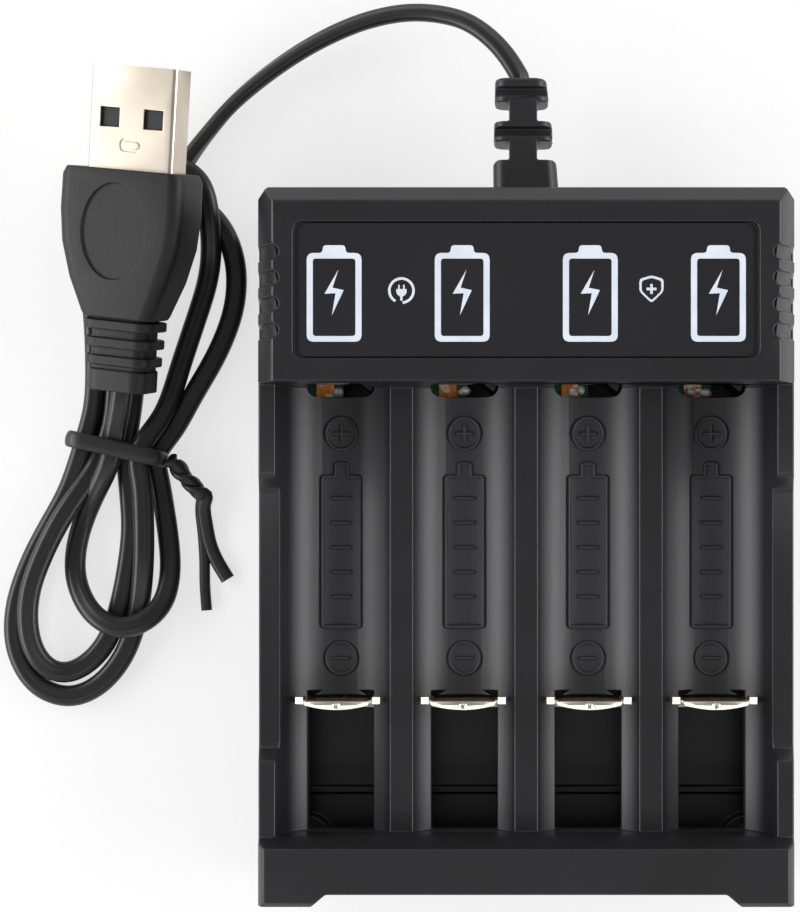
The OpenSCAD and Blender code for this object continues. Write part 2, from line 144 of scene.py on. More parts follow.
def placed(name, data):
    """A new object in the scene."""
    piece = bpy.data.objects.new(name, data)
    bpy.context.collection.objects.link(piece)
    return piece


def applied(piece):
    """Gives a piece what its modifiers make as a plain mesh, and takes the modifiers off."""
    made = bpy.data.meshes.new_from_object(piece.evaluated_get(bpy.context.evaluated_depsgraph_get()))
    piece.modifiers.clear()
    piece.data = made
    return made


def weigh_edges(form, width, hidden, sharp):
    """Marks how far each sharp edge is rounded: less where a face beside it is narrow or a corner is acute,
    and not at all below the hidden height. A wide face may be a thin rim, so its room is its mean width."""
    wide_face, room_share, acute, acute_weight = 12 * mm, 0.4, 50, 0.25
    weight = form.edges.layers.float.new("bevel_weight_edge")
    for edge in form.edges:
        seen = max(v.co.z for v in edge.verts) >= hidden
        if seen and len(edge.link_faces) == 2 and edge.calc_face_angle(0) > math.radians(sharp):
            start, end = [v.co for v in edge.verts]
            along = (end - start).normalized()
            room = []
            for face in edge.link_faces:
                reach = max((v.co - start).cross(along).length for v in face.verts)
                room.append(reach if reach < wide_face else 2 * face.calc_area() / face.calc_perimeter())
            edge[weight] = min(1, room_share * min(room) / width)
    for loop in [loop for face in form.faces for loop in face.loops]:
        pair = loop.edge, loop.link_loop_prev.edge
        if loop.calc_angle() < math.radians(acute) and min(edge[weight] for edge in pair) > 0:
            for edge in pair:
                edge[weight] = min(edge[weight], acute_weight)


def shade_roundings(made, sharp, bend=70):
    """Sets the shading of a rounded mesh: its faces keep their own, and the roundings, which have the second
    material and are marked as rubbed, lead from one face to the next."""
    meets = [[] for _ in made.vertices]
    for face in made.polygons:
        corners = [made.vertices[v].co for v in face.vertices]
        for k, v in enumerate(face.vertices):
            opening = (corners[k - 1] - corners[k]).angle(corners[(k + 1) % len(corners)] - corners[k], 0)
            meets[v].append((face.normal.copy(), opening, face.material_index))
    shading = []
    for face in made.polygons:
        near = math.cos(math.radians(bend if face.material_index else sharp))
        for v in face.vertices:
            beside = [(n * w, rounding) for n, w, rounding in meets[v] if n.dot(face.normal) > near]
            flat = [n for n, rounding in beside if not rounding] or [n for n, _ in beside]
            shading.append(sum(flat, Vector()).normalized())
    made.normals_split_custom_set(shading)
    made.attributes.new("rubbed", "FLOAT", "POINT").data.foreach_set(
        "value", [float(all(rounding for *_, rounding in faces)) for faces in meets])


def eased(node, name, width, body, hidden=0, level=0.5, steps=3, sharp=30):
    """A copy of a CAD node with its sharp edges rounded as a mould leaves them, which stands for the node.
    Facets within the level angle are one face, and a corner that strays from the surface goes back to it."""
    doubles, stray = 0.002 * mm, 0.45 * width
    mesh = nodes[node].data.copy()
    form = bmesh.new()
    form.from_mesh(mesh)
    bmesh.ops.remove_doubles(form, verts=form.verts, dist=doubles)
    bmesh.ops.dissolve_limit(form, angle_limit=math.radians(level), verts=form.verts, edges=form.edges)
    weigh_edges(form, width, hidden, sharp)
    surface = BVHTree.FromBMesh(form)
    top = max(v.co.z for v in form.verts)
    form.to_mesh(mesh)
    form.free()
    mesh.shade_smooth()
    mesh.materials.clear()
    for _ in ("faces", "roundings"):
        mesh.materials.append(None)
    piece = placed(name, mesh)
    bevel = piece.modifiers.new("eased", "BEVEL")
    bevel.limit_method, bevel.offset_type, bevel.material = "WEIGHT", "OFFSET", 1
    bevel.width, bevel.segments, bevel.use_clamp_overlap = width, steps, False
    piece.modifiers.new("split", "TRIANGULATE").min_vertices = 5
    made = applied(piece)
    for v in made.vertices:
        nearest, _, _, gap = surface.find_nearest(v.co)
        v.co = nearest if gap > stray or v.co.z > top else v.co
    made.update()
    shade_roundings(made, sharp)
    made.polygons.foreach_set("material_index", [0] * len(made.polygons))
    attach(piece, body)
    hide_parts(node)
    return piece


def dress(piece, material):
    """Gives a piece its finish, and a new piece the record's slot too."""
    piece.data.materials.clear()
    piece.data.materials.append(material)
    return piece


dress(eased("lower_housing", "lower_shell", lower_edge, "charger"), black_abs)
dress(nodes["housing_screws"], zinc_screw)

# Charging board: green glass laminate with its chips and coil, the lamps on their legs and two supply wires.
# It lies in the head, and only its edge shows through the contact windows.

# Solder mask is a thin varnish, so the board looks wet and deep green.
board_green = finish_of(
    "solder_mask", "#0b5a41", "#13704f", 3 * mm, 0.4 * mm, 0.02 * mm, (0.2, 0.35), IOR=1.5)
# Chips are cast in black epoxy, which is dull and even.
chip_resin = finish_of("chip_resin", "#17171a", "#222226", 2 * mm, 0.15 * mm, 0.01 * mm, (0.5, 0.65))
# The lamps' epoxy is clouded to spread their light, and looks milky when they are off.
lamp_resin = finish_of("diffuse_lamp_resin", "#dcd6c6", "#ece7da", 2 * mm, 0.3 * mm, 0.004 * mm, (0.2, 0.3))
# The wires have a smooth drawn sleeve of red vinyl.
wire_sleeve = finish_of("red_wire_sleeve", "#9c1f1a", "#b32a22", 3 * mm, 0.3 * mm, 0.01 * mm, (0.35, 0.5))
bays = range(1, 5)
dress(nodes["circuit_board"], board_green)
dress(nodes["charge_chips"], chip_resin)
dress(nodes["power_wires"], wire_sleeve)
for bay in bays:
    dress(nodes[f"led_{bay}"], lamp_resin)

# Solder: beads of tin alloy where each contact's foot meets the board, a few in each bay.
# They were dabbed on by hand, so each has its own size and dents.
bay_pitch = 16
bay_x = [bay_pitch * (bay - 2.5) for bay in bays]
bead_size, bead_dent, dent_width = 0.72 * mm, 0.2 * mm, 0.9 * mm
bead_y, bead_shift, bead_z = 20.2, 0.25, 7.25
dabs_across = ((-0.55,), (-0.5, 0.0), (-1.9, -0.9), (-2.6, -1.6, -0.6))


def grown(name, start, tree, sizes):
    """Runs a node tree on a starting mesh with its sizes set, and keeps the result as a plain closed mesh."""
    piece = placed(name, start)
    modifier = piece.modifiers.new(name, "NODES")
    modifier.node_group = tree
    for item in tree.interface.items_tree:
        if item.in_out == "INPUT" and item.name in sizes:
            modifier[item.identifier] = sizes[item.name]
    made = applied(piece)
    form = bmesh.new()
    form.from_mesh(made)
    bmesh.ops.recalc_face_normals(form, faces=form.faces)
    form.to_mesh(made)
    form.free()
    return piece


def inputs_of(tree, **kinds):
    """Gives a node tree its geometry sockets and named inputs, and returns the sockets that hand them on."""
    tree.interface.new_socket("Geometry", in_out="INPUT", socket_type="NodeSocketGeometry")
    for name, kind in kinds.items():
        tree.interface.new_socket(name.replace("_", " "), in_out="INPUT", socket_type="NodeSocket" + kind)
    tree.interface.new_socket("Geometry", in_out="OUTPUT", socket_type="NodeSocketGeometry")
    return add(tree, "NodeGroupInput").outputs


tree = bead_tree = bpy.data.node_groups.new("solder_beads", "GeometryNodeTree")
given = inputs_of(tree, Size="Float", Finish="Material")
drop = add(tree, "GeometryNodeMeshIcoSphere", {"Radius": given["Size"], "Subdivisions": 3})
squash = add(tree, "FunctionNodeRandomValue", data_type="FLOAT_VECTOR")
link(tree, squash, {"Min": (0.7, 0.6, 0.45), "Max": (1.2, 1.1, 0.8), "Seed": 4})
beads = add(tree, "GeometryNodeInstanceOnPoints", {
    "Points": given["Geometry"], "Instance": drop, "Scale": squash})
beads = add(tree, "GeometryNodeRealizeInstances", {"Geometry": beads})
dents = add(tree, "ShaderNodeTexNoise", {"Scale": 1 / dent_width, "Detail": 1.0}).outputs["Color"]
push = add(tree, "ShaderNodeMapRange", data_type="FLOAT_VECTOR")
link(tree, push, {"Vector": dents, "To Min": (-bead_dent,) * 3, "To Max": (bead_dent,) * 3})
beads = add(tree, "GeometryNodeSetPosition", {"Geometry": beads, "Offset": push.outputs["Vector"]})
beads = add(tree, "GeometryNodeSetShadeSmooth", {"Geometry": beads})
beads = add(tree, "GeometryNodeSetMaterial", {"Geometry": beads, "Material": given["Finish"]})
add(tree, "NodeGroupOutput", {"Geometry": beads})

# Tin sets with a frosted skin, pale and only half bright.
solder_tin = finish_of(
    "solder_tin", "#e4e2de", "#f6f5f2", 0.8 * mm, 0.15 * mm, 0.008 * mm, (0.3, 0.45), Metallic=0.3)
spots = bpy.data.meshes.new("solder_spots")
spots.from_pydata([((x + dab) * mm, (bead_y + bead_shift * (k % 2)) * mm, bead_z * mm)
                   for x, dabs in zip(bay_x, dabs_across) for k, dab in enumerate(dabs)], [], [])
solder = grown("solder_beads", spots, bead_tree, {"Size": bead_size, "Finish": solder_tin})
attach(solder, "charger")

# Cell contacts: a copper-bronze leaf at the head of each bay, and a nickel-plated slider at the other end.
# The leaves are soldered to the board. The sliders are folded from sheet and run in slots in the bay floors.
slider_edge = 0.08 * mm
tin_line, splash_width, splash_edge = (8.2, 9.4), 1.3 * mm, (0.53, 0.6)

# Bronze leaf has a warm shine. Tin covers it in grey above the foot, and in splashes below.
contact_bronze = finish_of(
    "bronze_leaf_tinned_tip", "#b8662c", "#e3a05c", 1.1 * mm, 0.25 * mm, 0.03 * mm, (0.3, 0.5), Metallic=1.0)
tree = contact_bronze.node_tree
shader = tree.nodes["Principled BSDF"]
place = add(tree, "ShaderNodeTexCoord").outputs["Object"]
level = add(tree, "ShaderNodeSeparateXYZ", {"Vector": place}).outputs["Z"]
tinned = add(tree, "ShaderNodeMapRange", {
    "Value": level, "From Min": tin_line[0] * mm, "From Max": tin_line[1] * mm})
splash = add(tree, "ShaderNodeTexNoise", {"Vector": place, "Scale": 1 / splash_width, "Detail": 4})
splash = add(tree, "ShaderNodeMapRange", {
    "Value": splash, "From Min": splash_edge[0], "From Max": splash_edge[1]})
tinned = add(tree, "ShaderNodeMath", {0: tinned, 1: splash}, operation="MAXIMUM")
plated = add(tree, "ShaderNodeMix", data_type="RGBA")
link(tree, plated, {"Factor": tinned, "A": feed(shader, "Base Color"), "B": linear("#c9c6bf")})
link(tree, shader, {"Base Color": plated.outputs["Result"]})

# Bright nickel plate is a warm white mirror.
bright_nickel = finish_of(
    "bright_nickel_plate", "#e6dac6", "#f2e8d8", 2 * mm, 0.2 * mm, 0.005 * mm, (0.16, 0.26), Metallic=1.0)
for bay in bays:
    dress(nodes[f"positive_contact_{bay}"], contact_bronze)
    plate = eased(f"slider_contact_{bay}", f"slider_{bay}_plate", slider_edge, f"slider_{bay}")
    dress(plate, bright_nickel)
dress(nodes["spring_terminals"], bright_nickel)

# Slider springs: close-wound tension springs of steel wire, which pull the sliders towards the head.
# Each lies under a bay floor, hooked to a terminal of the board and to its slider. In the charger it
# stretches as the slider moves, but here each is drawn at its rest length.
coil_turns, coil_sides, coil_r, coil_z = 40, 14, 1.32, 4.4
coil_from, coil_to = -18.4, 14.4
slider_hook, board_hook = (-19.2, -18.8), (14.8, 15.1)
spring_gauge = 0.72 * mm

# Springs and all other long thin pieces are a profile run along a line: round, oval, or oval with a waist.
tree = along_tree = bpy.data.node_groups.new("profile_along_a_line", "GeometryNodeTree")
given = inputs_of(tree, Width="Float", Thickness="Float", Waist="Float", Sides="Int", Lies_flat="Bool",
                  Finish="Material")
line = add(tree, "GeometryNodeMeshToCurve", {"Mesh": given["Geometry"]})
line = add(tree, "GeometryNodeSetCurveNormal", {"Curve": line, "Selection": given["Lies flat"]}, mode="Z_UP")
twist = add(tree, "GeometryNodeInputNamedAttribute", {"Name": "twist"}, data_type="FLOAT")
line = add(tree, "GeometryNodeSetCurveTilt", {"Curve": line, "Tilt": twist.outputs["Attribute"]})
outline = add(tree, "GeometryNodeCurvePrimitiveCircle", {"Resolution": given["Sides"], "Radius": 0.5})
spot = add(tree, "ShaderNodeSeparateXYZ", {"Vector": add(tree, "GeometryNodeInputPosition")}).outputs
off_middle = add(tree, "ShaderNodeMath", {0: spot["X"]}, operation="ABSOLUTE")
least = add(tree, "ShaderNodeMath", {0: 1.0, 1: given["Waist"]}, operation="SUBTRACT")
waist = add(tree, "ShaderNodeMapRange", {
    "Value": off_middle, "From Max": 0.24, "To Min": least}, interpolation_type="SMOOTHSTEP")
across = add(tree, "ShaderNodeMath", {0: spot["X"], 1: given["Width"]}, operation="MULTIPLY")
tall = add(tree, "ShaderNodeMath", {0: spot["Y"], 1: given["Thickness"]}, operation="MULTIPLY")
tall = add(tree, "ShaderNodeMath", {0: tall, 1: waist}, operation="MULTIPLY")
shaped = add(tree, "ShaderNodeCombineXYZ", {"X": across, "Y": tall})
outline = add(tree, "GeometryNodeSetPosition", {"Geometry": outline, "Position": shaped})
swept = add(tree, "GeometryNodeCurveToMesh", {"Curve": line, "Profile Curve": outline, "Fill Caps": True})
swept = add(tree, "GeometryNodeSetShadeSmooth", {"Geometry": swept})
swept = add(tree, "GeometryNodeRealizeInstances", {"Geometry": swept})
swept = add(tree, "GeometryNodeSetMaterial", {"Geometry": swept, "Material": given["Finish"]})
add(tree, "NodeGroupOutput", {"Geometry": swept})


def line_mesh(name, lines, closed=False, twists=None):
    """Lines of points in metres as a mesh of edges, with the twist at each point where one is given."""
    points, edges = [], []
    for line in lines:
        first = len(points)
        points += [tuple(p) for p in line]
        edges += [(k, k + 1) for k in range(first, len(points) - 1)]
        edges += [(len(points) - 1, first)] if closed else []
    mesh = bpy.data.meshes.new(name)
    mesh.from_pydata(points, edges, [])
    if twists:
        mesh.attributes.new("twist", "FLOAT", "POINT").data.foreach_set("value", twists)
    return mesh


# Drawn spring steel is a plain grey metal with a clean shine.
spring_wire = finish_of(
    "spring_wire", "#a9a6a0", "#bdbab4", 2 * mm, 0.2 * mm, 0.006 * mm, (0.2, 0.3), Metallic=1.0)
for bay, x in zip(bays, bay_x):
    wind = [(x, y, coil_z) for y in slider_hook]
    for k in range(coil_turns * coil_sides + 1):
        turn = 2 * math.pi * k / coil_sides
        y = coil_from + (coil_to - coil_from) * k / (coil_turns * coil_sides)
        wind.append((x + coil_r * math.cos(turn), y, coil_z + coil_r * math.sin(turn)))
    wind += [(x, y, coil_z) for y in board_hook]
    wire = line_mesh(f"spring_{bay}", [[Vector(p) * mm for p in wind]])
    spring = grown(f"spring_{bay}", wire, along_tree, {
        "Width": spring_gauge, "Thickness": spring_gauge, "Waist": 0.0, "Sides": 8, "Lies flat": False,
        "Finish": spring_wire})
    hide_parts(f"slider_spring_{bay}")
    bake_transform(spring)

# Upper shell: head block, ridged cell bays, side rails and base block in one moulding of the same black ABS.
# It closes the case from above. Each trough is shaded as the true half round that it is, with its axis above.
upper_edge, inside_below, upper_level = 0.22 * mm, 7.5 * mm, 0.1
trough_r, trough_axis = 7.6, 16.6
on_trough, faces_axis = 0.04 * mm, 0.9
upper_shell = eased("upper_housing", "upper_shell", upper_edge, "charger", inside_below, upper_level)
dress(upper_shell, black_abs)
form = upper_shell.data
shading = [corner.vector.copy() for corner in form.corner_normals]
for k, loop in enumerate(form.loops):
    corner = form.vertices[loop.vertex_index].co
    aside = min((x * mm - corner.x for x in bay_x), key=abs)
    inward = Vector((aside, 0, trough_axis * mm - corner.z))
    if abs(inward.length - trough_r * mm) < on_trough and inward.normalized().dot(shading[k]) > faces_axis:
        shading[k] = inward.normalized()
form.normals_split_custom_set(shading)

# Bay marks: a cell's outline and its two poles in each bay, proud of the trough by a third of a millimetre.
# They belong to the same moulding, from grooves cut into the mould. Five plain bars fill the outline.
# They are drawn flat, bent to the trough and set in each bay.
mark_stroke, mark_height, mark_corner = 0.52 * mm, 0.34 * mm, 0.3
plus_y, minus_y, pole_r, pole_arm = 14.77, -14.37, 2.05, 1.1
cell_half, cell_low, cell_high = 2.57, -10.28, 9.18
tip_half, tip_high = 0.8, 10.88
bar_half, bar_step = 1.3, 3.2

tree = bay_tree = bpy.data.node_groups.new("marks_in_bays", "GeometryNodeTree")
given = inputs_of(tree, Stroke="Float", Height="Float", Trough="Float", Axis="Float", First="Vector",
                  Pitch="Vector", Finish="Material")
line = add(tree, "GeometryNodeMeshToCurve", {"Mesh": given["Geometry"]})
line = add(tree, "GeometryNodeSetCurveNormal", {"Curve": line}, mode="Z_UP")
half = add(tree, "ShaderNodeMath", {0: given["Stroke"], 1: 0.5}, operation="MULTIPLY")
round_bar = add(tree, "GeometryNodeCurvePrimitiveCircle", {"Resolution": 8, "Radius": half})
marks = add(tree, "GeometryNodeCurveToMesh", {"Curve": line, "Profile Curve": round_bar, "Fill Caps": True})
drawn = add(tree, "ShaderNodeSeparateXYZ", {"Vector": add(tree, "GeometryNodeInputPosition")}).outputs
rise = add(tree, "ShaderNodeMath", {0: drawn["Z"], 1: half}, operation="DIVIDE")
rise = add(tree, "ShaderNodeMath", {0: rise, 1: given["Height"]}, operation="MULTIPLY")
reach = add(tree, "ShaderNodeMath", {0: given["Trough"], 1: rise}, operation="SUBTRACT")
angle = add(tree, "ShaderNodeMath", {0: drawn["X"], 1: given["Trough"]}, operation="DIVIDE")
sine = add(tree, "ShaderNodeMath", {0: angle}, operation="SINE")
cosine = add(tree, "ShaderNodeMath", {0: angle}, operation="COSINE")
across = add(tree, "ShaderNodeMath", {0: reach, 1: sine}, operation="MULTIPLY")
below = add(tree, "ShaderNodeMath", {0: reach, 1: cosine}, operation="MULTIPLY")
height = add(tree, "ShaderNodeMath", {0: given["Axis"], 1: below}, operation="SUBTRACT")
bent = add(tree, "ShaderNodeCombineXYZ", {"X": across, "Y": drawn["Y"], "Z": height})
marks = add(tree, "GeometryNodeSetPosition", {"Geometry": marks, "Position": bent})
stops = add(tree, "GeometryNodeMeshLine", {
    "Count": len(bays), "Start Location": given["First"], "Offset": given["Pitch"]})
marks = add(tree, "GeometryNodeInstanceOnPoints", {"Points": stops, "Instance": marks})
marks = add(tree, "GeometryNodeRealizeInstances", {"Geometry": marks})
marks = add(tree, "GeometryNodeSetShadeSmooth", {"Geometry": marks})
marks = add(tree, "GeometryNodeSetMaterial", {"Geometry": marks, "Material": given["Finish"]})
add(tree, "NodeGroupOutput", {"Geometry": marks})


def rounded(corners, radius, steps=4):
    """A closed outline in millimetres with its corners rounded."""
    points = []
    for i, (x, y) in enumerate(corners):
        here = Vector((x, y))
        back, ahead = Vector(corners[i - 1]) - here, Vector(corners[(i + 1) % len(corners)]) - here
        cut = min(radius, back.length / 2.01, ahead.length / 2.01)
        start, end = here + back.normalized() * cut, here + ahead.normalized() * cut
        for k in range(steps + 1):
            t = k / steps
            points.append(start * (1 - t) ** 2 + here * 2 * t * (1 - t) + end * t ** 2)
    return points


def ring(x, y, radius, steps=40):
    """A circle of points in millimetres."""
    turn = 2 * math.pi / steps
    return [Vector((x + radius * math.cos(turn * k), y + radius * math.sin(turn * k))) for k in range(steps)]


def laid_flat(lines):
    """Lines of flat points in millimetres, laid at height zero in metres."""
    return [[(p.x * mm, p.y * mm, 0) for p in line] for line in lines]


cell = rounded([
    (-cell_half, cell_low), (cell_half, cell_low), (cell_half, cell_high), (tip_half, cell_high),
    (tip_half, tip_high), (-tip_half, tip_high), (-tip_half, cell_high), (-cell_half, cell_high)],
    mark_corner)
loops = [ring(0, plus_y, pole_r), cell, ring(0, minus_y, pole_r)]
strokes = [[(-pole_arm, plus_y), (pole_arm, plus_y)], [(0, plus_y - pole_arm), (0, plus_y + pole_arm)],
           [(-pole_arm, minus_y), (pole_arm, minus_y)]]
strokes += [[(-bar_half, bar_step * k), (bar_half, bar_step * k)] for k in (2, 1, 0, -1, -2)]
strokes = [[Vector(a).lerp(Vector(b), k / 8) for k in range(9)] for a, b in strokes]
for name, lines, closed in (("bay_outlines", loops, True), ("bay_strokes", strokes, False)):
    marks = grown(name, line_mesh(name, laid_flat(lines), closed), bay_tree, {
        "Stroke": mark_stroke, "Height": mark_height, "Trough": trough_r * mm, "Axis": trough_axis * mm,
        "First": (bay_x[0] * mm, 0, 0), "Pitch": (bay_pitch * mm, 0, 0), "Finish": black_abs})
    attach(marks, "charger")

# Label panel: a smoked film glued into a shallow recess of the head, screen printed with a cell over each
# lamp and two small pictograms. The ink is a thin closed layer on the film.
film_z, ink_layer, ink_doubles = 21.9, 0.03 * mm, 0.002 * mm
cells_at, cells_step, plug_at, shield_at = (-23.8, 31), 15.87, (-15.46, 31.83), (15.52, 32.03)
sign_half, sign_high, sign_tip_half, sign_tip_high, sign_corner = 3.4, 5.5, 1.42, 6.45, 0.85
hole_half, hole_high, hole_corner = 2.64, 4.8, 0.4
ring_out, ring_in, ring_gap = 1.66, 1.34, range(-84, 241, 6)
shield_corner, shield_inside = 0.4, 0.81

# Smoked film is a deep satin black, smoother than the moulding round it.
panel_film = finish_of(
    "smoked_label_film", "#1a1a1d", "#1f1f23", 20 * mm, 0.25 * mm, 0.004 * mm, (0.28, 0.36), IOR=1.5)
dress(nodes["label_panel"], panel_film)
tree = print_tree = bpy.data.node_groups.new("screen_print", "GeometryNodeTree")
given = inputs_of(tree, Layer="Float", Count="Int", First="Vector", Step="Vector", Finish="Material")
inked = add(tree, "GeometryNodeMeshToCurve", {"Mesh": given["Geometry"]})
inked = add(tree, "GeometryNodeFillCurve", {"Curve": inked})
under = add(tree, "GeometryNodeFlipFaces", {"Mesh": inked})
up = add(tree, "ShaderNodeCombineXYZ", {"Z": given["Layer"]})
upper = add(tree, "GeometryNodeExtrudeMesh", {
    "Mesh": inked, "Offset": up, "Offset Scale": 1.0, "Individual": False})
layer = add(tree, "GeometryNodeJoinGeometry", {"Geometry": under})
link(tree, layer, {"Geometry": upper})
layer = add(tree, "GeometryNodeMergeByDistance", {"Geometry": layer, "Distance": ink_doubles})
stops = add(tree, "GeometryNodeMeshLine", {
    "Count": given["Count"], "Start Location": given["First"], "Offset": given["Step"]})
layer = add(tree, "GeometryNodeInstanceOnPoints", {"Points": stops, "Instance": layer})
layer = add(tree, "GeometryNodeRealizeInstances", {"Geometry": layer})
layer = add(tree, "GeometryNodeSetMaterial", {"Geometry": layer, "Material": given["Finish"]})
add(tree, "NodeGroupOutput", {"Geometry": layer})

# Screen ink dries matt, a cool off-white.
ink = finish_of("pale_screen_ink", "#d6deea", "#e4ebf5", 3 * mm, 0.2 * mm, 0.004 * mm, (0.4, 0.55), IOR=1.5)
sign = rounded([
    (-sign_half, -sign_high), (sign_half, -sign_high), (sign_half, sign_high), (sign_tip_half, sign_high),
    (sign_tip_half, sign_tip_high), (-sign_tip_half, sign_tip_high), (-sign_tip_half, sign_high),
    (-sign_half, sign_high)], sign_corner)
hole = rounded([
    (-hole_half, -hole_high), (hole_half, -hole_high), (hole_half, hole_high), (-hole_half, hole_high)],
    hole_corner)
bolt = [Vector(p) for p in (
    (0.52, 3.41), (-1.19, 0.44), (0.18, 0.51), (-0.28, -2.22), (1.19, 0.89), (-0.2, 1.19))]
arc = [math.radians(a) for a in ring_gap]
plug_ring = [Vector((r * math.cos(a), r * math.sin(a)))
             for r, way in ((ring_out, arc), (ring_in, arc[::-1])) for a in way]
plug_half = ((0.15, -1.24), (0.15, -0.75), (0.5, -0.5), (0.64, -0.2), (0.64, 0.2), (0.4, 0.2), (0.4, 0.72),
             (0.2, 0.72), (0.2, 0.2))
plug_sign = [Vector((-x, y)) for x, y in plug_half[:1]] + [Vector(p) for p in plug_half]
plug_sign += [Vector((-x, y)) for x, y in plug_half[:0:-1]]
shield = rounded([(-1.5, 1.25), (0, 1.7), (1.5, 1.25), (1.5, -0.3), (0, -1.75), (-1.5, -0.3)], shield_corner)
shield_hole = [p * shield_inside for p in shield]
bar, arm = 0.16, 0.62
cross = [Vector(p) for p in (
    (-bar, -arm), (bar, -arm), (bar, -bar), (arm, -bar), (arm, bar), (bar, bar), (bar, arm),
    (-bar, arm), (-bar, bar), (-arm, bar), (-arm, -bar), (-bar, -bar))]
for name, lines, count, at, step in (
        ("print_cells", [sign, hole, bolt], len(bays), cells_at, cells_step),
        ("print_plug", [plug_ring, plug_sign], 1, plug_at, 0),
        ("print_shield", [shield, shield_hole, cross], 1, shield_at, 0)):
    printed = grown(name, line_mesh(name, laid_flat(lines), True), print_tree, {
        "Layer": ink_layer, "Count": count, "First": (at[0] * mm, at[1] * mm, film_z * mm),
        "Step": (step * mm, 0, 0), "Finish": ink})
    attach(printed, "charger")

# Strain relief: a slotted boot in soft black vinyl, so that the cord bends gently where it leaves the case.
# It is moulded on the cord and held in the case's end wall.
boot_edge = 0.25 * mm

# Soft vinyl has a dull sheen, and takes a blurred light along its edges.
soft_vinyl = finish_of(
    "soft_black_vinyl", "#19191b", "#202023", 6 * mm, 0.35 * mm, 0.012 * mm, (0.36, 0.5), IOR=1.52)
boot = dress(eased("strain_relief", "strain_relief_boot", boot_edge, "charger"), soft_vinyl)

# Cord: a limp flat two-core lead in black vinyl, with a shallow groove between its cores. It goes from the
# boot on edge down to the table, and is folded into a hank, with three loops below the tie and two above it.
cord_across, cord_thick, cord_groove, cord_sides = 2.8 * mm, 2.1 * mm, 0.14, 28
cord_step, cord_passes = 0.7 * mm, 8
from_boot = [
    (-0.75, 60.3, 10), (-1.1, 61.4, 10), (-2.6, 63.8, 9.7), (-4.8, 66.3, 9), (-8.5, 68.9, 7.8),
    (-14.5, 70.2, 6.1), (-20.5, 69.6, 4.7), (-26.5, 67.5, 3.5), (-32.6, 64.1, 2.5), (-38.7, 59.4, 1.8),
    (-42.5, 55.1, 1.6), (-44.9, 52, 1.5), (-46.8, 48.8, 1.5), (-48.6, 45.2, 1.5), (-49.8, 41.4, 1.5),
    (-50.8, 36, 1.5), (-51.4, 30, 1.5), (-52, 24, 1.5), (-52.6, 18, 1.8), (-53.2, 13, 2.2),
]
middle_loop = [
    (-52.8, 6.5, 1.5), (-52.6, 2, 1.5), (-53.3, -3.6, 1.5), (-54.3, -8.2, 1.5), (-55.9, -12.6, 1.5),
    (-58.4, -15.5, 1.6), (-61.3, -16.9, 1.9), (-63.8, -16, 2.6), (-65.5, -13.2, 3.3), (-66, -9.2, 3.8),
    (-65.5, -5.4, 4.1), (-64.3, -2, 4.1), (-62.6, 1.7, 4.1), (-60.8, 4.9, 3.8), (-59, 7.6, 3.2),
    (-57.2, 10.6, 2.4), (-56, 13.4, 2.2),
]
inner_fold = [
    (-55, 18, 1.6), (-54.5, 27.5, 1.5), (-54, 35, 1.5), (-53.6, 40, 1.7), (-52.9, 43.5, 3),
    (-51.9, 46.6, 4.3), (-50.2, 49, 4.4), (-47.8, 50.2, 4.3), (-45.2, 50, 4.2), (-43.2, 48.6, 4.2),
    (-42.3, 46.4, 4.3), (-41.9, 43.8, 4.1), (-41.8, 41, 3), (-42, 38, 1.8), (-42.6, 34.8, 1.5),
    (-43.6, 31.6, 1.5), (-45.8, 25, 1.5), (-48, 17.8, 2.8), (-51.3, 12.6, 4.4),
]
outer_loop = [
    (-50.8, 8.7, 4), (-50.6, 3.4, 3.8), (-50.7, -2.3, 3.4), (-51.5, -8, 2), (-52.8, -12.6, 1.5),
    (-54.5, -15.8, 1.5), (-57.2, -18.6, 1.5), (-60.9, -20, 1.5), (-65, -18.6, 1.5), (-67.5, -15, 1.5),
    (-68.3, -11, 1.5), (-67.7, -6.4, 1.5), (-65.7, -1.1, 1.5), (-63.3, 3.4, 1.5), (-61, 7.6, 1.6),
    (-58.8, 13.8, 2.2),
]
outer_fold = [
    (-57.5, 19.5, 1.6), (-57.5, 28.2, 1.5), (-58, 34.2, 1.5), (-58.2, 39, 1.5), (-57.4, 42.4, 1.5),
    (-55.6, 45.1, 1.5), (-53, 46.7, 1.6), (-50.6, 47.2, 2.6), (-48.6, 47.1, 4.1), (-46.6, 46.7, 4.1),
    (-44.8, 46.1, 2.4), (-43.3, 45.4, 1.6), (-41.8, 44.2, 1.5), (-40.4, 42.4, 1.5), (-39.3, 40, 1.5),
    (-38.6, 36.6, 1.5), (-39, 31.6, 1.5), (-41.1, 26, 1.5), (-44.4, 20.2, 1.6), (-47, 15.4, 1.9),
    (-49.4, 12.3, 2.2),
]
short_loop = [
    (-48.9, 9.2, 1.6), (-48.3, 5.4, 1.5), (-47.7, 1.4, 1.5), (-47.4, -3.1, 1.6), (-48, -7.2, 3),
    (-50, -9.6, 4.4), (-53.1, -10.8, 4.5), (-56.1, -9.8, 4.3), (-58.5, -7.4, 3.2), (-60.1, -3.6, 1.8),
    (-59.9, 0.5, 1.5), (-58.9, 3.8, 1.6), (-57.2, 7.2, 2.8), (-55.3, 10.3, 4.3), (-54.5, 13, 4.6),
]
to_plug = [
    (-54.2, 15.4, 4.8), (-53.4, 18, 5.9), (-52.93, 20.58, 6.51), (-52.76, 22.54, 6.85), (-52.6, 24.5, 7.19),
]


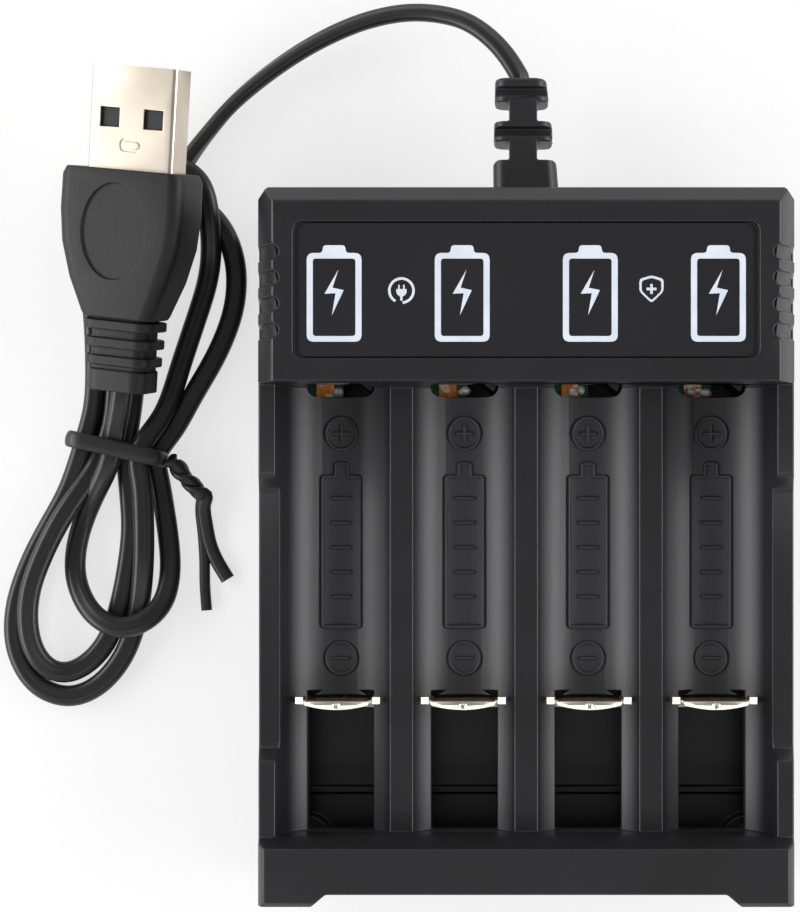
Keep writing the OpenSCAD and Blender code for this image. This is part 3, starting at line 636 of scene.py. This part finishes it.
def smooth_path(points, step, passes):
    """Points a step apart on a smooth line through the given ones, in metres, evened out in a few passes."""
    knots = [Vector(p) * mm for p in points]
    fine = []
    for i in range(len(knots) - 1):
        a, b, c, d = knots[max(i - 1, 0)], knots[i], knots[i + 1], knots[min(i + 2, len(knots) - 1)]
        for k in range(24):
            t = k / 24
            fine.append(0.5 * (2 * b + (c - a) * t + (2 * a - 5 * b + 4 * c - d) * t ** 2
                               + (3 * b - a - 3 * c + d) * t ** 3))
    fine.append(knots[-1])
    line, left = [fine[0]], step
    for a, b in zip(fine, fine[1:]):
        length = (b - a).length
        while left <= length:
            line.append(a.lerp(b, left / length))
            left += step
        left -= length
    for _ in range(passes):
        line[2:-2] = [(line[i - 1] + 2 * line[i] + line[i + 1]) / 4 for i in range(2, len(line) - 2)]
    return line


cord_line = smooth_path(
    from_boot + middle_loop + inner_fold + outer_loop + outer_fold + short_loop + to_plug,
    cord_step, cord_passes)
# The cord's turn in degrees at lengths in metres from the boot: on edge at first, and flat from 80 mm on.
cord_turns = ((0, 40), (0.03, 48), (0.052, 84), (0.064, 142), (0.08, 180), (1, 180))
twists, run = [], 0
for k, point in enumerate(cord_line):
    run += (point - cord_line[k - 1]).length if k else 0
    (s0, a0), (s1, a1) = next(pair for pair in zip(cord_turns, cord_turns[1:]) if run <= pair[1][0])
    twists.append(math.radians(a0 + (a1 - a0) * (run - s0) / (s1 - s0)))

# The cord's vinyl was drawn smooth, so it shows a narrow line of light along each core.
cord_vinyl = finish_of(
    "cord_vinyl", "#161617", "#1d1d1f", 8 * mm, 0.4 * mm, 0.012 * mm, (0.3, 0.42), IOR=1.52)
usb_cord = grown("usb_cord", line_mesh("usb_cord", [cord_line], twists=twists), along_tree, {
    "Width": cord_across, "Thickness": cord_thick, "Waist": cord_groove, "Sides": cord_sides,
    "Lies flat": True, "Finish": cord_vinyl})
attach(usb_cord, "charger")
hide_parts("cord_lead", "cord_hank", "cord_tail")

# Twist tie: a flat strip of soft black vinyl over a wire, passed round the hank, its ends wound together.
# The band is bent flat and then stood up round the cords, and the two ends are left long.
tie_at, tie_turn = Vector((-54.2, 13, 3.4)) * mm, math.radians(-12.6)
band_half, band_high, band_corner, band_across, band_thick = 6.35, 2.95, 2.3, 2.2 * mm, 0.9 * mm
wound_from, wound_to = Vector((-47.2, 11.6, 3.6)), Vector((-42.9, 6.7, 1.9))
wound_r, wound_turns, wound_start, wound_length = 0.62, 1.3, 0.5, 7.5
strand_step, strand_thick, strand_groove, strand_widths = 0.35, 1.15 * mm, 0.12, (1.9, 1.45)
tie_sides = 16
tails = (
    [(-43, 5.4, 1.5), (-42.7, 2.6, 1), (-42.2, 0.2, 0.8), (-41.3, -1.9, 0.75), (-39.8, -4.4, 0.75)],
    [(-43.5, 4.8, 1), (-43.2, 1.6, 0.7), (-43, -1.7, 0.7), (-42.95, -5.1, 0.7), (-42.7, -8.5, 0.7)],
)
band_line = rounded([
    (-band_half, -band_high), (band_half, -band_high), (band_half, band_high), (-band_half, band_high)],
    band_corner, 8)
band = grown("tie_wound", line_mesh("tie_band", laid_flat([band_line]), True), along_tree, {
    "Width": band_thick, "Thickness": band_across, "Waist": 0.0, "Sides": tie_sides, "Lies flat": True,
    "Finish": soft_vinyl})
stood_up = Matrix.Rotation(tie_turn, 4, "Z") @ Matrix.Rotation(math.pi / 2, 4, "X")
band.data.transform(Matrix.Translation(tie_at) @ stood_up)
axis = (wound_to - wound_from).normalized()
aside = axis.cross(Vector((0, 0, 1))).normalized()
above = aside.cross(axis)
strands = []
for start, tail, wide in zip((wound_start, wound_start + math.pi), tails, strand_widths):
    wound = []
    for k in range(0, 25, 3):
        turn = start + 2 * math.pi * wound_turns * k / 24
        round_axis = math.cos(turn) * aside + math.sin(turn) * above
        wound.append(wound_from.lerp(wound_to, k / 24) + wound_r * round_axis)
    strand = smooth_path(wound + tail, strand_step * mm, 2)
    still_wound = [max(0.0, 1 - k * strand_step / wound_length) for k in range(len(strand))]
    lay = [part * wound_turns * 2 * math.pi for part in still_wound]
    strands.append(grown("tie_strand", line_mesh("tie_strand", [strand], twists=lay), along_tree, {
        "Width": wide * mm, "Thickness": strand_thick, "Waist": strand_groove, "Sides": tie_sides,
        "Lies flat": True, "Finish": soft_vinyl}))
form = bmesh.new()
form.from_mesh(band.data)
for strand in strands:
    form.from_mesh(strand.data)
    bpy.data.objects.remove(strand)
form.to_mesh(band.data)
form.free()
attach(band, "charger")
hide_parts("twist_tie")

# Plug: a pressed, nickel-plated shell with two latch windows, round a black tongue with four gilt pins.
# Its grip is black vinyl, moulded over the shell's tail and the end of the cord.
grip_edge, shell_edge = 0.2 * mm, 0.07 * mm

# The grip's mould was blasted, so the vinyl is a matt black that spreads the light.
plug_vinyl = finish_of(
    "plug_vinyl", "#121214", "#1a1a1d", 6 * mm, 0.35 * mm, 0.04 * mm, (0.44, 0.58), IOR=1.46)
grip = dress(eased("plug_grip", "plug_overmould", grip_edge, "charger"), plug_vinyl)
# The shell's plate is duller than the sliders', a warm satin white.
shell_nickel = finish_of(
    "plug_shell_nickel", "#d6c9b8", "#e2d7c8", 5 * mm, 0.3 * mm, 0.003 * mm, (0.26, 0.34), Metallic=1.0)
shell = dress(eased("plug_shell", "plug_shell_pressed", shell_edge, "charger"), shell_nickel)
# A flash of gold keeps the pins bright, a brownish yellow.
pin_gold = finish_of(
    "gold_flashed_pin", "#b8893a", "#cfa04c", 1 * mm, 0.2 * mm, 0.004 * mm, (0.2, 0.32), Metallic=1.0)
dress(nodes["plug_tongue"], chip_resin)
dress(nodes["plug_pins"], pin_gold)

# Studio: a white table just below the feet, two long soft boxes low on the left and right, a narrow strip
# light over the base and a pale room. The camera looks straight down, shifted as the photograph is framed.
table_half, table_top, table_glow = 1.5, -0.02 * mm, 0.68
box_size, box_power, box_at, box_turn = (0.23, 0.7), 2.45, (0.452, 0.02, 0.211), 65
strip_size, strip_power, strip_at, strip_turn = (0.5, 0.09), 0.5, (0, -0.3, 0.52), -28
room_level, room_top, room_high = 1.0, 0.36, 0.9
scene = bpy.context.scene
scene.view_settings.view_transform = "Standard"
camera = placed("camera", bpy.data.cameras.new("camera"))
camera.data.sensor_width = 36
camera.data.lens = 85.42
camera.data.shift_x, camera.data.shift_y = -0.1384, 0.0954
camera.data.clip_start = 0.01
camera.location = (0, 0.56 * mm, 290 * mm)
scene.camera = camera

# The table looks white to the camera and in reflections, with a light shadow. To other light it is matt.
table_white = bpy.data.materials.new("white_table")
table_white.use_nodes = True
tree = table_white.node_tree
tree.nodes.clear()
path = add(tree, "ShaderNodeLightPath").outputs
looks = add(tree, "ShaderNodeMath", {0: path["Is Camera Ray"], 1: path["Is Glossy Ray"]}, operation="MAXIMUM")
looks = add(tree, "ShaderNodeMath", {0: looks, 1: path["Is Transmission Ray"]}, operation="MAXIMUM")
matt = add(tree, "ShaderNodeBsdfDiffuse", {"Color": (0.8, 0.8, 0.8, 1)})
shadow = add(tree, "ShaderNodeBsdfDiffuse", {"Color": (0.32, 0.32, 0.32, 1)})
glow = add(tree, "ShaderNodeEmission", {"Color": (1, 1, 1, 1), "Strength": table_glow})
lifted = add(tree, "ShaderNodeAddShader", {0: shadow, 1: glow})
seen = add(tree, "ShaderNodeMixShader", {"Fac": looks, 1: matt, 2: lifted})
add(tree, "ShaderNodeOutputMaterial", {"Surface": seen})
table_mesh = bpy.data.meshes.new("table")
table_mesh.from_pydata([(x * table_half, y * table_half, table_top)
                        for x, y in ((-1, -1), (1, -1), (1, 1), (-1, 1))], [], [(0, 1, 2, 3)])
table_mesh.materials.append(table_white)
table = placed("table", table_mesh)


def soft_light(name, size, power, at, turn):
    """A rectangular studio lamp."""
    lamp = bpy.data.lights.new(name, "AREA")
    lamp.shape, lamp.energy = "RECTANGLE", power
    lamp.size, lamp.size_y = size
    stand = placed(name, lamp)
    stand.location, stand.rotation_euler = at, turn


for side in (-1, 1):
    at, turn = (side * box_at[0], *box_at[1:]), (0, side * math.radians(box_turn), 0)
    soft_light("soft_box", box_size, box_power, at, turn)
soft_light("strip_light", strip_size, strip_power, strip_at, (math.radians(strip_turn), 0, 0))

room = bpy.data.worlds.new("room")
scene.world = room
room.use_nodes = True
tree = room.node_tree
tree.nodes.clear()
way = add(tree, "ShaderNodeSeparateXYZ", {"Vector": add(tree, "ShaderNodeTexCoord").outputs["Generated"]})
fade = add(tree, "ShaderNodeMapRange", {
    "Value": way.outputs["Z"], "From Max": room_high, "To Min": room_level, "To Max": room_top})
soft = add(tree, "ShaderNodeBackground", {"Strength": fade})
add(tree, "ShaderNodeOutputWorld", {"Surface": soft})
